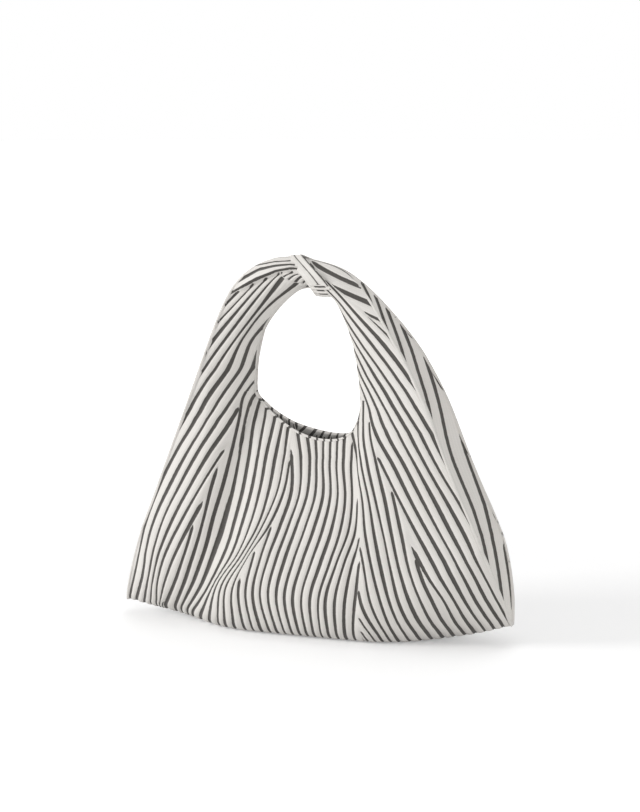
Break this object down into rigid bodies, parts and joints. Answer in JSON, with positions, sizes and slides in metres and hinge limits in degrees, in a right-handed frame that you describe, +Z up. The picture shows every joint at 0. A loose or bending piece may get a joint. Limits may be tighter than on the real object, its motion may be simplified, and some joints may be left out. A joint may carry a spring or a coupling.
{
  "type": "tote bag",
  "caption": "Soft rib-knit tote bag with inward folded side gussets, an arched handle gathered at a knot-like wrap, a narrow hemmed mouth and a lining with a snap.",
  "frame": {"origin": "On the surface that the bag stands on, under the middle of its width and depth", "axes": "+X to the right along the bottom seam, front panel towards -Y, +Z up to the handle"},
  "size_m": [0.37, 0.114, 0.3447],
  "materials": {
    "rib_knit": "fine rib knit, off-white ribs with charcoal grooves",
    "hem_knit": "rib knit turned in",
    "lining": "plain woven lining",
    "tape": "woven tape",
    "snap_metal": "satin nickel"
  },
  "bodies": {
    "bag": {"front_panel": "rib_knit", "back_panel": "rib_knit", "left_gusset": "rib_knit", "right_gusset": "rib_knit", "left_arm_fold": "rib_knit", "right_arm_fold": "rib_knit", "front_hem": "hem_knit", "back_hem": "hem_knit", "front_lining": "lining", "back_lining": "lining", "slip_pocket": "lining", "bottom_seam_tape": "tape", "snap_stud": "snap_metal", "stud_washer": "snap_metal", "snap_socket": "snap_metal", "socket_washer": "snap_metal"},
    "handle": {"left_arm": "rib_knit", "right_arm": "rib_knit", "knot_wrap": "rib_knit"}
  },
  "joints": [
    {"name": "handle_tip", "type": "hinge", "parent": "bag", "child": "handle", "pos_m": [0, 0, 0.236], "axis": [1, 0, 0], "range_deg": [-60, 60], "deforming": ["left_arm_fold", "right_arm_fold"]}
  ]
}
